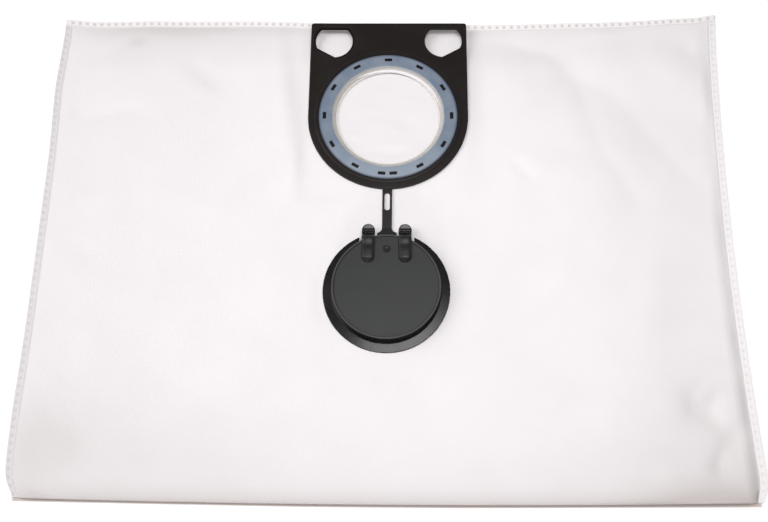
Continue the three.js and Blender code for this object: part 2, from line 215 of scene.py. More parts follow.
def setCamera():
    plan = viewPlan
    pitch, yaw, roll = (math.radians(plan[key]) for key in ("pitch", "yaw", "roll"))
    forward = Vector((
        math.sin(yaw) * math.cos(pitch), math.cos(yaw) * math.cos(pitch), -math.sin(pitch)))
    side = forward.cross(Vector((0, 0, 1))).normalized()
    above = side.cross(forward)
    right = side * math.cos(roll) + above * math.sin(roll)
    up = above * math.cos(roll) - side * math.sin(roll)
    place = Vector((plan["targetX"], plan["targetY"], 0)) - forward * plan["distance"]
    data = bpy.data.cameras.new("photoCamera")
    data.sensor_fit = "HORIZONTAL"
    data.sensor_width = 36
    data.lens = data.sensor_width * plan["focalPixels"] / plan["imageWidth"]
    data.clip_start = 0.01
    camera = addObject("photoCamera", data)
    turn = Matrix((right, up, -forward)).transposed().to_4x4()
    camera.matrix_world = Matrix.Translation(place * mm) @ turn
    bpy.context.scene.camera = camera


def addAreaLight(name, power, size, place):
    data = bpy.data.lights.new(name, "AREA")
    data.energy = power
    data.size = size
    light = addObject(name, data)
    light.location = place
    light.rotation_euler = (-Vector(place)).to_track_quat("-Z", "Y").to_euler()


def seenShare(tree):
    path = addNode(tree, "ShaderNodeLightPath").outputs
    seen = mathNode(tree, "MAXIMUM", path["Is Camera Ray"], path["Is Glossy Ray"])
    return mathNode(tree, "MAXIMUM", seen, path["Is Transmission Ray"])


def contactShadowShare(tree, parts):
    # 1 on the floor along the folded edge, where only the soft room light comes and the floor is
    # painted a brownish shadow colour
    plan = lightPlan
    reach = plan["contactReach"] * mm
    halfWidth = (bagWidth / 2 - plan["contactInset"]) * mm
    aside = mathNode(tree, "ABSOLUTE", parts["X"])
    bowFrom = plan["contactBowFrom"] * mm
    bow = mapRange(tree, aside, bowFrom, halfWidth, bagPlan["frontBow"] * mm, 0)
    fromFold = mathNode(tree, "ADD", mathNode(tree, "ADD", parts["Y"], bow), bagLength / 2 * mm)
    toFold = mathNode(tree, "ABSOLUTE", fromFold)
    alongFold = mapRange(tree, toFold, reach * plan["contactCore"], reach, 1, 0)
    withinSides = mapRange(tree, aside, halfWidth - reach, halfWidth, 1, 0)
    return mathNode(tree, "MULTIPLY", alongFold, withinSides)


def setFloor():
    # The floor glows where it is seen, but not where the bag touches it, and there it is painted a
    # brownish contact shadow
    plan = lightPlan
    material, tree = newMaterial("whiteFloor")
    place, parts = placeParts(tree)
    contactShadow = contactShadowShare(tree, parts)
    away = radiusFrom(tree, place, 0)
    glowHere = mapRange(tree, away, *plan["floorGrowth"], *plan["floorGlow"])
    glowShare = mathNode(tree, "MULTIPLY", glowHere, mapRange(tree, contactShadow, 0, 1, 1, 0))
    color = mixColors(tree, contactShadow, plan["floorColor"], plan["paintedShadowColor"])
    diffuse = addNode(tree, "ShaderNodeBsdfDiffuse", None, {"Color": color})
    strength = mathNode(tree, "MULTIPLY", seenShare(tree), glowShare)
    glow = addNode(tree, "ShaderNodeEmission", None, {"Color": (1, 1, 1, 1), "Strength": strength})
    both = addNode(tree, "ShaderNodeAddShader", None, {0: diffuse.outputs[0], 1: glow.outputs[0]})
    addNode(tree, "ShaderNodeOutputMaterial", None, {"Surface": both.outputs[0]})
    size = plan["floorHalf"]
    corners = [(-size, -size, 0), (size, -size, 0), (size, size, 0), (-size, size, 0)]
    data = bpy.data.meshes.new("floor")
    data.from_pydata(corners, [], [(0, 1, 2, 3)])
    data.materials.append(material)
    floor = addObject("floor", data)
    floor.location.z = -plan["floorDrop"]


def setWorld():
    # Near the horizon it is white where it is seen, and gives no more light than the rest
    plan = lightPlan
    world = bpy.data.worlds.new("softRoom")
    bpy.context.scene.world = world
    world.use_nodes = True
    tree = world.node_tree
    tree.nodes.clear()
    parts = placeParts(tree, "Generated")[1]
    nearHorizon = mapRange(tree, parts["Z"], *plan["horizon"], 1, 0)
    white = mathNode(tree, "MULTIPLY", seenShare(tree), nearHorizon)
    room = addNode(tree, "ShaderNodeBackground", None, {
        "Color": mixColors(tree, white, plan["worldColor"], (1, 1, 1)),
        "Strength": mapRange(tree, white, 0, 1, plan["world"], 1),
    })
    addNode(tree, "ShaderNodeOutputWorld", None, {"Surface": room.outputs[0]})


# Meshes

def addMesh(name, points, faces, material, sharpAngle=35, weld=0):
    data = bpy.data.meshes.new(name)
    data.from_pydata([Vector(point) * mm for point in points], [], faces)
    cleanMesh(data, weld)
    data.shade_smooth()
    data.set_sharp_from_angle(angle=math.radians(sharpAngle))
    data.materials.append(material)
    return addObject(name, data)


def cleanMesh(data, weld=0):
    # Joins points that are closer than weld, and turns the faces outwards
    shape = bmesh.new()
    shape.from_mesh(data)
    if weld:
        bmesh.ops.remove_doubles(shape, verts=shape.verts, dist=weld * mm)
    bmesh.ops.recalc_face_normals(shape, faces=shape.faces)
    shape.to_mesh(data)
    shape.free()


def setShare(piece, name, values):
    piece.data.attributes.new(name, "FLOAT", "POINT").data.foreach_set("value", values)


def evaluatedMesh(piece):
    evaluated = piece.evaluated_get(bpy.context.evaluated_depsgraph_get())
    return bpy.data.meshes.new_from_object(evaluated)


def applyModifiers(piece):
    old = piece.data
    data = evaluatedMesh(piece)
    piece.modifiers.clear()
    piece.data = data
    bpy.data.meshes.remove(old)


def cutAndJoin(piece, steps):
    # Steps are pairs of an operation and a piece that it uses up
    for index, (operation, tool) in enumerate(steps):
        change = piece.modifiers.new(f"step{index}", "BOOLEAN")
        change.operation = operation
        change.solver = "EXACT"
        change.object = tool
    applyModifiers(piece)
    for operation, tool in steps:
        bpy.data.objects.remove(tool)


def finishEdges(piece, width, sharpAngle=40):
    bevel = piece.modifiers.new("roundedEdges", "BEVEL")
    bevel.width = width * mm
    bevel.segments = 2
    bevel.limit_method = "ANGLE"
    bevel.angle_limit = math.radians(sharpAngle)
    bevel.harden_normals = False
    applyModifiers(piece)
    shadeFlatFaces(piece, sharpAngle)


def shadeFlatFaces(piece, sharpAngle=35):
    piece.data.shade_smooth()
    piece.data.set_sharp_from_angle(angle=math.radians(sharpAngle))
    weighted = piece.modifiers.new("flatFaces", "WEIGHTED_NORMAL")
    weighted.keep_sharp = True


def arcPoints(x, y, radius, start, end, steps):
    angles = [math.radians(start + (end - start) * i / steps) for i in range(steps + 1)]
    return [(x + radius * math.cos(a), y + radius * math.sin(a)) for a in angles]


def ringFaces(rings, capped=False):
    # Faces between rings of point numbers, with both ends capped or the last joined to the first
    faces = [tuple(reversed(rings[0])), tuple(rings[-1])] if capped else []
    for lower, upper in zip(rings, rings[1:] + ([] if capped else rings[:1])):
        for i in range(len(lower)):
            j = (i + 1) % len(lower)
            corners = tuple(dict.fromkeys((lower[i], lower[j], upper[j], upper[i])))
            if len(corners) > 2:
                faces.append(corners)
    return faces


def prisms(name, outlines, low, high, material):
    points, faces = [], []
    for outline in outlines:
        first, count = len(points), len(outline)
        points += [(x, y, z) for z in (low, high) for x, y in outline]
        rings = [range(first, first + count), range(first + count, first + 2 * count)]
        faces += ringFaces(rings, capped=True)
    return addMesh(name, points, faces, material)


def turned(name, profile, y, z, material, steps=144):
    # The profile is a list of radius and height; a radius of 0 is a point on the axis
    points, rings = [], []
    for radius, height in profile:
        count = steps if radius else 1
        rings.append([len(points) + i % count for i in range(steps)])
        for i in range(count):
            angle = 2 * math.pi * i / steps
            points.append((radius * math.cos(angle), y + radius * math.sin(angle), z + height))
    return addMesh(name, points, ringFaces(rings), material)


def roundedPath(corners, steps=4):
    # Corners are two numbers and a rounding; after the last one comes the first
    path = []
    for i, (across, height, rounding) in enumerate(corners):
        if rounding == 0:
            path.append((across, height))
            continue
        here = Vector((across, height))
        before = Vector(corners[i - 1][:2]) - here
        after = Vector(corners[(i + 1) % len(corners)][:2]) - here
        start = here + before.normalized() * rounding
        end = here + after.normalized() * rounding
        for step in range(steps + 1):
            t = step / steps
            path.append(tuple(start * (1 - t) ** 2 + here * 2 * t * (1 - t) + end * t ** 2))
    return path


def smooth(t):
    t = min(max(t, 0), 1)
    return t * t * (3 - 2 * t)


# Finishes

grainLook = {
    "waveShares": {"ADD": 0.65, "SUBTRACT": 0.35},
    "pressedRange": (0.15, 0.8),
    "fibres": (1400, 3, 0.6),
    "clouds": (26, 4, 0.55),
    "flow": (5, 0.6, 1.4),
    "markRange": (0.35, 0.68),
    "roughRange": (0.3, 0.7),
    "bumpDepth": 0.05,
}


def pressedFleeceGroup():
    # Fine pressed diamonds and loose fibres of a bonded fleece
    outputs = ("Height", "Pressed", "Clouds")
    group, given = newGroup("pressedFleece", {"Pitch": 0.0024, "Fibre": 0.35}, outputs)
    place, parts = placeParts(group)
    turn = mathNode(group, "DIVIDE", 2 * math.pi, given["Pitch"])
    waves = []
    for operation, share in grainLook["waveShares"].items():
        across = mathNode(group, operation, parts["X"], parts["Y"])
        wave = mathNode(group, "SINE", mathNode(group, "MULTIPLY", across, turn))
        waves.append(mathNode(group, "MULTIPLY", wave, share))
    both = mathNode(group, "ADD", *waves)
    pressed = mapRange(group, both, *grainLook["pressedRange"], kind="SMOOTHSTEP")
    fibres = addNoise(group, place, *grainLook["fibres"])
    loose = mathNode(group, "MULTIPLY", fibres, given["Fibre"])
    addNode(group, "NodeGroupOutput", None, {
        "Height": mathNode(group, "SUBTRACT", loose, pressed),
        "Pressed": pressed,
        "Clouds": addNoise(group, place, *grainLook["clouds"]),
    })
    return group


def mouldedGrainGroup():
    # Fine texture and soft flow marks of a moulded plastic
    group, given = newGroup("mouldedGrain", {"Grain": 900, "Flow": 18}, ("Height", "Marks"))
    place = placeParts(group)[0]
    addNode(group, "NodeGroupOutput", None, {
        "Height": addNoise(group, place, given["Grain"], 2),
        "Marks": addNoise(group, place, given["Flow"], *grainLook["flow"]),
    })
    return group


pressedFleece = pressedFleeceGroup()
mouldedGrain = mouldedGrainGroup()


fleeceFinish = {
    "loft": (0.912, 0.884, 0.905),
    "pressed": (0.876, 0.848, 0.868),
    "shade": (0.882, 0.850, 0.866),
    # Painted shade: the darker brownish colour of the sheet in hollows, by the fold and welds, and
    # beside the plate
    "paintedShade": (0.64, 0.595, 0.580),
    "clouds": (0.35, 0.7),
    "pitch": 2.9,
    "fibre": 0.5,
    "roughness": 0.92,
    "sheen": 0.12,
    "specular": 0.25,
    "bumpStrength": 0.36,
    "bumpDepth": 0.16,
}


def fleeceMaterial():
    # A mesh attribute gives painted shade: where the sheet lies in hollows, along the fold and
    # welds and beside the plate, it is painted darker and brownish
    finish = fleeceFinish
    material, tree = newMaterial("whiteFleece")
    fleece, normal = useFleece(tree, finish)
    cloudShare = mapRange(tree, fleece["Clouds"], *finish["clouds"])
    base = mixColors(tree, cloudShare, finish["loft"], finish["shade"])
    color = mixColors(tree, fleece["Pressed"], base, finish["pressed"])
    addSurface(tree, {
        "Base Color": mixColors(tree, meshShare(tree, "paintedShade"), color, finish["paintedShade"]),
        "Roughness": finish["roughness"],
        "Sheen Weight": finish["sheen"],
        "Specular IOR Level": finish["specular"],
        "Normal": normal,
    })
    return material


weldFinish = {
    "edge": (0.93, 0.90, 0.905),
    "pitAndShade": (0.70, 0.67, 0.675),
    "pitch": 1.1,
    "fibre": 0.8,
    "roughness": 0.6,
    "bumpStrength": 0.4,
    "bumpDepth": 0.1,
}


def useFleece(tree, finish):
    values = {"Pitch": finish["pitch"] * mm, "Fibre": finish["fibre"]}
    fleece = useGroup(tree, pressedFleece, values)
    return fleece, bumpFrom(tree, fleece["Height"], finish["bumpStrength"], finish["bumpDepth"])


def meshShare(tree, name):
    return addNode(tree, "ShaderNodeAttribute", {"attribute_name": name}).outputs["Fac"]


def weldMaterial():
    # A mesh attribute says where the strip is pressed and looks greyer, and also carries the
    # painted shade that greys a whole side strip
    finish = weldFinish
    material, tree = newMaterial("weldedFleece")
    addSurface(tree, {
        "Base Color": mixColors(tree, meshShare(tree, "pressAndShade"), finish["edge"], finish["pitAndShade"]),
        "Roughness": finish["roughness"],
        "Normal": useFleece(tree, finish)[1],
    })
    return material


def plasticMaterial(name, finish):
    material, tree = newMaterial(name)
    moulded = useGroup(tree, mouldedGrain, {"Grain": finish["grain"], "Flow": finish["flow"]})
    share = mapRange(tree, moulded["Marks"], *grainLook["markRange"])
    color = mixColors(tree, share, finish["color"], finish["marks"])
    rough = mapRange(tree, moulded["Marks"], *grainLook["roughRange"], *finish["roughness"])
    if "discPaintedSheen" in finish:
        disc, ridge, raised = lidShares(tree)
        # The disc's lighter colour is painted sheen
        paintedDiscSheen = mixColors(tree, share, finish["discPaintedSheen"], finish["discPaintedSheenMarks"])
        color = mixColors(tree, disc, color, paintedDiscSheen)
        # Painted highlight along the ridge top
        color = mixColors(tree, ridge, color, finish["ridgePaintedHighlight"])
        for part, amount in ((disc, finish["discRougher"]), (raised, finish["ridgeRougher"])):
            rough = mathNode(tree, "ADD", rough, mathNode(tree, "MULTIPLY", part, amount))
    addSurface(tree, {
        "Base Color": color,
        "Roughness": rough,
        "Specular IOR Level": finish["specular"],
        "Normal": bumpFrom(tree, moulded["Height"], finish["bump"], grainLook["bumpDepth"]),
    })
    return material


def lidShares(tree):
    # Masks by place: the finely textured disc, which is also painted with sheen, the top of the
    # ridge, which gets a painted highlight, and all above the disc
    finish = lidFinish
    place, parts = placeParts(tree)
    radius, height = radiusFrom(tree, place, lidY), parts["Z"]
    ridgeTop = sheetLevel + lidPlan["height"]
    discTop = ridgeTop - lidPlan["sink"]
    fromWall = lidPlan["plug"]
    inside = fade(tree, radius, *(fromWall - inset for inset in finish["discInsets"]))
    onRing = fade(tree, radius, *(fromWall - inset for inset in finish["ridgeInsets"]))
    low = fade(tree, height, *(discTop + rise for rise in finish["topRises"]))
    raised = fade(tree, height, *(discTop + rise for rise in finish["raisedRises"]))
    underHooks = fade(tree, height, *(ridgeTop + rise for rise in finish["topRises"]))
    ridge = mathNode(tree, "MULTIPLY", mathNode(tree, "MULTIPLY", onRing, underHooks), raised)
    return mathNode(tree, "MULTIPLY", inside, low), ridge, raised


sealPlan = {
    "thickness": 0.9,
    "lipRadius": 46.3,
    "lipDrop": 4.4,
    "lipBead": 0.5,
    "shoulder": 50.7,
    "windowLength": 6.9,
    "windowWidth": 3.2,
    "windowCorner": 0.5,
    "windowOffset": 0.8,
    "windowCount": 12,
    "pairOffset": 5.2,
}

lidPlan = {
    "wall": 1.5,
    "plug": 46.4,
    "draft": 0.6,
    "height": 15.2,
    "ridge": 1.6,
    "sink": 1.4,
    "rimEdge": 1.2,
    "rimRise": 1.0,
    "notchHalf": 24.0,
    "notchLedge": 0.6,
    "gateRadius": 3.1,
    "gateHeight": 1.5,
    "gateInset": 21.1,
    "flareWidth": 17.2,
    "flareSetBack": 1.3,
}

plateFinish = {
    "color": (0.0085, 0.0060, 0.0052),
    "marks": (0.0120, 0.0086, 0.0074),
    "specular": 0.25,
    "roughness": (0.36, 0.48),
    "grain": 1100,
    "flow": 14,
    "bump": 0.25,
}

# Insets and rises are where a mask begins and where it is full
lidFinish = {
    "color": (0.0060, 0.0062, 0.0062),
    "marks": (0.0120, 0.0118, 0.0110),
    # Painted sheen: the disc is rougher and also painted lighter than the rim
    "discPaintedSheen": (0.0145, 0.0165, 0.0160),
    "discPaintedSheenMarks": (0.020, 0.0220, 0.0210),
    "discRougher": 0.24,
    "discInsets": (1.5, 2.1),
    # Painted highlight along the ridge top
    "ridgePaintedHighlight": (0.040, 0.037, 0.034),
    "ridgeRougher": 0.18,
    "ridgeInsets": (2.2, 1.8),
    "topRises": (0.5, 0.2),
    "raisedRises": (0.5, 1.0),
    "specular": 0.32,
    "roughness": (0.19, 0.26),
    "grain": 700,
    "flow": 22,
    "bump": 0.3,
}

strapFinish = {
    "color": (0.0075, 0.0060, 0.0052),
    "marks": (0.0130, 0.0105, 0.0092),
    "specular": 0.3,
    "roughness": (0.34, 0.44),
    "grain": 900,
    "flow": 30,
    "bump": 0.3,
}

# Pairs of lengths are where a look begins and where it is full
sealFinish = {
    "band": (0.165, 0.212, 0.287),
    "bandCloud": (0.215, 0.257, 0.320),
    # Painted light: the band is painted lighter towards the near side
    "bandPaintedLight": (0.310, 0.362, 0.435),
    "bandPaintedLightShare": 0.8,
    "bandPaintedLightBelow": (20, 60),
    "bandRim": (0.040, 0.052, 0.085),
    "bandRimWidth": 2.2,
    "cloudScale": 60,
    "cloudRange": (0.38, 0.62),
    "lip": (0.74, 0.71, 0.67),
    # Painted highlight on the lip's inner bead
    "paintedBeadHighlight": (0.95, 0.93, 0.90),
    "roughness": 0.34,
    "lipAlpha": 0.52,
    "beadAlpha": 0.72,
    "beadBeyond": (0.9, 0.2),
    "bandFade": (50.0, 51.6),
    "solidFade": (50.2, 50.8),
}


def sealMaterial():
    # Milky rubber: blue-grey where black plastic backs it, warm and clearer where nothing does;
    # the band is painted lighter towards the near side as painted light, and the bead carries a
    # painted highlight
    finish = sealFinish
    material, tree = newMaterial("milkyRubber")
    place, parts = placeParts(tree)
    radius = radiusFrom(tree, place, portY)
    cloud = mapRange(tree, addNoise(tree, place, finish["cloudScale"], 3), *finish["cloudRange"])
    band = mixColors(tree, cloud, finish["band"], finish["bandCloud"])
    nearFrom, nearTo = (portY - below for below in finish["bandPaintedLightBelow"])
    # Painted light towards the near side of the band
    nearSide = fade(tree, parts["Y"], nearFrom, nearTo, finish["bandPaintedLightShare"])
    band = mixColors(tree, nearSide, band, finish["bandPaintedLight"])
    rimShare = fade(tree, radius, sealRadius - finish["bandRimWidth"], sealRadius)
    band = mixColors(tree, rimShare, band, finish["bandRim"])
    # Painted highlight along the inner bead
    beadRadius = sealPlan["lipRadius"] + sealPlan["lipBead"]
    beadShare = fade(tree, radius, *(beadRadius + beyond for beyond in finish["beadBeyond"]))
    lip = mixColors(tree, beadShare, finish["lip"], finish["paintedBeadHighlight"])
    lipClear = mapRange(tree, beadShare, 0, 1, finish["lipAlpha"], finish["beadAlpha"])
    solid = fade(tree, radius, *finish["solidFade"])
    addSurface(tree, {
        "Base Color": mixColors(tree, fade(tree, radius, *finish["bandFade"]), lip, band),
        "Roughness": finish["roughness"],
        "Alpha": mathNode(tree, "MAXIMUM", solid, lipClear),
    })
    return material


whiteFleece = fleeceMaterial()
weldedFleece = weldMaterial()
blackPlastic = plasticMaterial("blackPlastic", plateFinish)
greyPlastic = plasticMaterial("greyPlastic", lidFinish)
strapPlastic = plasticMaterial("strapPlastic", strapFinish)
milkyRubber = sealMaterial()
print("finishes are made")


# Bag: one sheet, folded at the near edge and welded on the other three

# Moves in corners and waves are a place, how far the edge moves there, and the reach
bagPlan = {
    "crown": 10.0,
    "ply": 1.1,
    "weldWidth": 7.0,
    "weldThickness": 1.2,
    "edges": {"left": (0.10, 8, 60), "right": (0.36, 8, 120), "top": (0.25, 7, 50)},
    "nearStep": 0.08,
    "nearStepReach": 0.6,
    "foldRadius": 3.7,
    "foldGrowth": 1.4,
    "foldDepth": 7.0,
    "foldTip": 0.5,
    "foldRise": 40.0,
    "growthFrom": 150.0,
    "growthReach": 120.0,
    "portDome": 6.2,
    "portDomeFrom": 46.0,
    "portDomeTo": 84.0,
    "portWrinkle": 1.2,
    "portWrinkleFrom": 34.0,
    "portWrinkleReach": 12.0,
    "corners": [
        (-310, 227, -0.6, 0.0, 12), (310, 227, 1.6, 3.4, 14),
        (-312, -231, 9.0, 1.0, 15), (312, -231, -7.0, 1.5, 13),
    ],
    "topDrawIn": 6.4,
    "topWaves": [
        (-279, 2.8, 35), (-120, -2.1, 60), (110, 1.6, 55), (200, 0.8, 40), (277, -1.0, 25),
    ],
    "topWavesFrom": 100.0,
    "leftWaves": [(150, 2.4, 45), (-165, 1.5, 50)],
    "leftWavesFrom": 200.0,
    "frontBow": 2.7,
    "bowMiddle": -10.0,
    "bowHalf": 270.0,
    "rightDrawIn": 7.0,
    "cavityInset": 12.0,
    "cavityLeast": 0.3,
    "seatMargin": 8.0,
    "strapSeat": 9.0,
    "holeRadius": 52.9,
    "holeGrid": (0.8, 1.3),
    "step": 4.0,
    "softEdges": {"side": 12, "top": 14, "fold": 26},
    "backEdge": 20.0,
    "creaseReach": 2.2,
    "creaseFall": 1.25,
    "waveHeight": 0.8,
    "waveLength": 80.0,
    "puckerHeight": 0.9,
    "puckerLength": 24.0,
    "puckerReach": 20.0,
    "puckerEdge": 8.0,
    "puckerFold": 12.0,
    # Painted shade: even on the inside plies, and strongest along the folded edge, growing towards
    # the right
    "paintedShadeInside": 0.14,
    "paintedShadeFold": 0.50,
    "paintedShadeFoldReach": 9.0,
    "paintedShadeFoldFall": 1.5,
    "paintedShadeFoldGrowth": 0.30,
}


def ovalSum(ovals, x, y):
    total = 0
    for middleX, middleY, angle, length, width, amount in ovals:
        turn = math.radians(angle)
        along = (x - middleX) * math.cos(turn) + (y - middleY) * math.sin(turn)
        across = (y - middleY) * math.cos(turn) - (x - middleX) * math.sin(turn)
        total += amount * math.exp(-(along / length) ** 2 - (across / width) ** 2)
    return total

# Turned ovals that fade out: middle, direction, half length, half width, and the amount,
# which is how much painted shade, darker and brownish, the sheet gets there
paintedShadeOvals = [
    (-205, 217, 0, 95, 14, 0.50),
    (-238, 203, 5, 9, 6, 0.30),
    (-172, 166, -35, 24, 9, 0.16),
    (-285, -182, 35, 55, 38, 0.34),
    (-190, -190, 0, 110, 38, 0.20),
    (300, -165, 90, 60, 6, 0.20),
    (270, -218, 0, 50, 12, 0.34),
    (276, -138, 28, 28, 8, 0.20),
    (266, -158, -45, 24, 8, 0.20),
    (250, -200, 0, 90, 32, 0.22),
    (285, -165, 90, 50, 26, 0.16),
    (-86, 138, -81, 66, 8, 0.34),
    (80, 150, 90, 66, 9, 0.34),
    (0, -224, 0, 340, 36, 0.12),
]

# Soft dents and swells, whose amount is a height
softForms = [
    (-238, 203, 5, 8, 6, -1.6),
    (-172, 164, -35, 22, 9, -2.2),
    (-262, 190, 10, 30, 16, -1.6),
    (-215, 75, 12, 60, 18, 1.2),
    (-120, -70, 65, 90, 50, 1.6),
    (137, 74, -12, 40, 14, 1.0),
    (233, -58, 80, 60, 18, 1.4),
    (143, -161, 10, 70, 16, -1.0),
    (-110, -179, -8, 90, 14, 1.0),
    (-250, -195, 10, 60, 16, -1.6),
    (262, 178, -40, 34, 18, 1.6),
    (268, -146, 60, 30, 16, -2.6),
]

# Creases: path, height, width on its left and on its right; a wide side is a soft slope
softCreases = [
    ([(137, 211), (154, 191), (172, 165), (205, 152), (234, 119), (264, 97), (288, 83)],
     -5.0, 46, 30),
    ([(175, 171), (196, 94), (226, 39)], -1.6, 18, 14),
    ([(119, 76), (131, 64)], -1.6, 4, 6),
    ([(-100, 204), (-97, 150), (-88, 96), (-78, 60)], 1.5, 40, 12),
    ([(304, -119), (284, -131), (264, -142)], -1.7, 12, 13),
    ([(264, -142), (270, -157), (280, -170)], -1.7, 12, 13),
    ([(293, -170), (277, -186), (270, -199)], -3.0, 8, 5),
    ([(286, -140), (280, -150), (286, -158)], 1.6, 10, 10),
    ([(230, -204), (256, -202), (290, -206)], 2.0, 8, 10),
    ([(-297, -118), (-282, -128), (-266, -140)], 2.2, 5, 8),
    ([(-291, -140), (-270, -160), (-250, -180)], -3.4, 10, 13),
    ([(-303, 118), (-270, 120), (-239, 128)], -1.8, 5, 9),
    ([(-296, 6), (-280, -4), (-260, -16)], -1.8, 6, 8),
    ([(306, 222), (296, 204), (284, 190)], -1.8, 4, 5),
    ([(307, 220), (301, 196), (296, 172)], -1.8, 4, 5),
    ([(160, 214), (163, 200), (164, 190)], -1.2, 4, 6),
    ([(-290, 30), (-210, 44), (-130, 20)], 1.2, 26, 18),
    ([(-200, -120), (-130, -150), (-40, -152)], -1.2, 18, 20),
    ([(60, -60), (120, -30), (190, -40)], 1.2, 20, 24),
]


def creaseHeight(x, y):
    height = 0
    for path, depth, leftWidth, rightWidth in softCreases:
        reach = bagPlan["creaseReach"] * max(leftWidth, rightWidth)
        if not all(min(side) - reach < value < max(side) + reach
                   for value, side in zip((x, y), zip(*path))):
            continue
        nearest = None
        for (startX, startY), (endX, endY) in zip(path, path[1:]):
            alongX, alongY = endX - startX, endY - startY
            length = math.hypot(alongX, alongY)
            along = ((x - startX) * alongX + (y - startY) * alongY) / length ** 2
            across = ((y - startY) * alongX - (x - startX) * alongY) / length
            beyond = max(-along, along - 1, 0) * length
            distance = math.hypot(across, beyond)
            if nearest is None or distance < nearest[0]:
                nearest = distance, across
        distance, across = nearest
        leftShare = smooth(0.5 + 0.5 * across / max(distance, 0.01))
        width = rightWidth + (leftWidth - rightWidth) * leftShare
        height += depth * math.exp(-(distance / width) ** bagPlan["creaseFall"])
    return height


def growthShare(x):
    # The fold grows thicker towards the right, and its painted shade grows there too
    return smooth((x - bagPlan["growthFrom"]) / bagPlan["growthReach"])


def foldFaces(x, distance):
    plan = bagPlan
    radius = plan["foldRadius"] + plan["foldGrowth"] * growthShare(x)
    across = max(1 - distance / plan["foldDepth"], 0)
    half = max(radius * math.sqrt(1 - across ** 2), plan["foldTip"])
    share = smooth((distance - plan["foldDepth"] / 2) / plan["foldRise"])
    return radius + half + (plan["crown"] - 2 * radius) * share, radius - half


def seatShare(x, y):
    # 1 under the plate, the strap and the lid, where the sheet stays flat
    plate = max(abs(x) - plateHalf, portY - plateHalf - y, y - plateTopY)
    lid = math.hypot(x, y - lidY) - lidRadius
    strap = max(abs(x) - bagPlan["strapSeat"], y - portY, lidY - y)
    return 1 - smooth(min(plate, lid, strap) / bagPlan["seatMargin"])


def softHeight(x, y):
    plan = bagPlan
    height = ovalSum(softForms, x, y) + creaseHeight(x, y)
    for octave in (1, 2.3):
        place = Vector((x, y, 40)) * octave / plan["waveLength"]
        height += plan["waveHeight"] * noise.noise(place) / octave
    return height


def puckerHeight(x, y, fromSide, fromTop):
    # Small gathers that run into the weld
    plan = bagPlan
    height = 0
    for distance, along in ((fromSide, y), (fromTop, x)):
        wave = noise.noise(Vector((along / plan["puckerLength"], 7.0, x * 0.002)))
        near = math.exp(-max(distance, 0) / plan["puckerReach"])
        height += plan["puckerHeight"] * wave * (near * smooth(distance / plan["puckerEdge"]))
    return height


def edgeRise(distance, step, stepWidth, wholeWidth):
    # A short steep start beside the weld, then a long soft slope
    return step * smooth(distance / stepWidth) + (1 - step) * smooth(distance / wholeWidth)


def sheetFaces(x, y):
    plan = bagPlan
    weld, ply = plan["weldThickness"], plan["ply"]
    fromSide = bagWidth / 2 - abs(x) - plan["weldWidth"]
    fromTop = bagLength / 2 - y - plan["weldWidth"]
    fromFold = y + bagLength / 2
    step, stepWidth, wholeWidth = plan["edges"]["right" if x > 0 else "left"]
    if x > 0:
        step += plan["nearStep"] * (1 - smooth(fromFold / (bagLength * plan["nearStepReach"])))
    side = edgeRise(fromSide, step, stepWidth, wholeWidth)
    rise = side * edgeRise(fromTop, *plan["edges"]["top"])
    upper, lower = foldFaces(x, fromFold)
    free = 1 - seatShare(x, y)
    soft = plan["softEdges"]
    softness = smooth(fromSide / soft["side"]) * smooth(fromTop / soft["top"])
    softness *= smooth(fromFold / soft["fold"]) * free
    pucker = puckerHeight(x, y, fromSide, fromTop) * free * smooth(fromFold / plan["puckerFold"])
    upper = weld + (upper - weld) * rise + (softHeight(x, y) * softness + pucker)
    lower = lower * smooth(fromSide / plan["backEdge"])
    insideShare = smooth(min(fromSide, fromTop) / (plan["cavityInset"] * 0.9))
    bothPlies = 2 * ply + plan["cavityLeast"] + 0.1
    upper = max(upper, lower + weld + (bothPlies - weld) * insideShare)
    fromPort = math.hypot(x, y - portY)
    pastDome = (fromPort - plan["portDomeFrom"]) / (plan["portDomeTo"] - plan["portDomeFrom"])
    lower += plan["portDome"] * (1 - smooth(pastDome))
    insidePort = 1 - smooth((fromPort - plan["portWrinkleFrom"]) / plan["portWrinkleReach"])
    lower += plan["portWrinkle"] * noise.noise(Vector((x / 30, y / 9, 3.0))) * insidePort
    return upper, lower


def waveSum(waves, along):
    return sum(move * math.exp(-((along - place) / reach) ** 2) for place, move, reach in waves)


def drawnIn(x, y):
    # Where a point of the flat sheet lies, as its edges are drawn in and wavy
    plan = bagPlan
    topFrom, leftFrom = plan["topWavesFrom"], plan["leftWavesFrom"]
    alongX = 1 - (2 * x / bagWidth) ** 2
    alongY = 1 - (2 * y / bagLength) ** 2
    flatX = x - plan["rightDrawIn"] * alongY * (x / bagWidth + 0.5)
    flatY = y - plan["topDrawIn"] * alongX * smooth(y / bagLength + 0.5)
    nearTop = smooth((y - topFrom) / (bagLength / 2 - topFrom))
    nearLeft = smooth((-x - leftFrom) / (bagWidth / 2 - leftFrom))
    flatY -= nearTop * waveSum(plan["topWaves"], x)
    flatX -= nearLeft * waveSum(plan["leftWaves"], y)
    bow = max(1 - ((x - plan["bowMiddle"]) / plan["bowHalf"]) ** 2, -0.2)
    flatY -= plan["frontBow"] * bow * smooth(0.5 - y / bagLength)
    for cornerX, cornerY, moveX, moveY, reach in plan["corners"]:
        near = math.exp(-((x - cornerX) ** 2 + (y - cornerY) ** 2) / reach ** 2)
        flatX, flatY = flatX + moveX * near, flatY + moveY * near
    return flatX, flatY


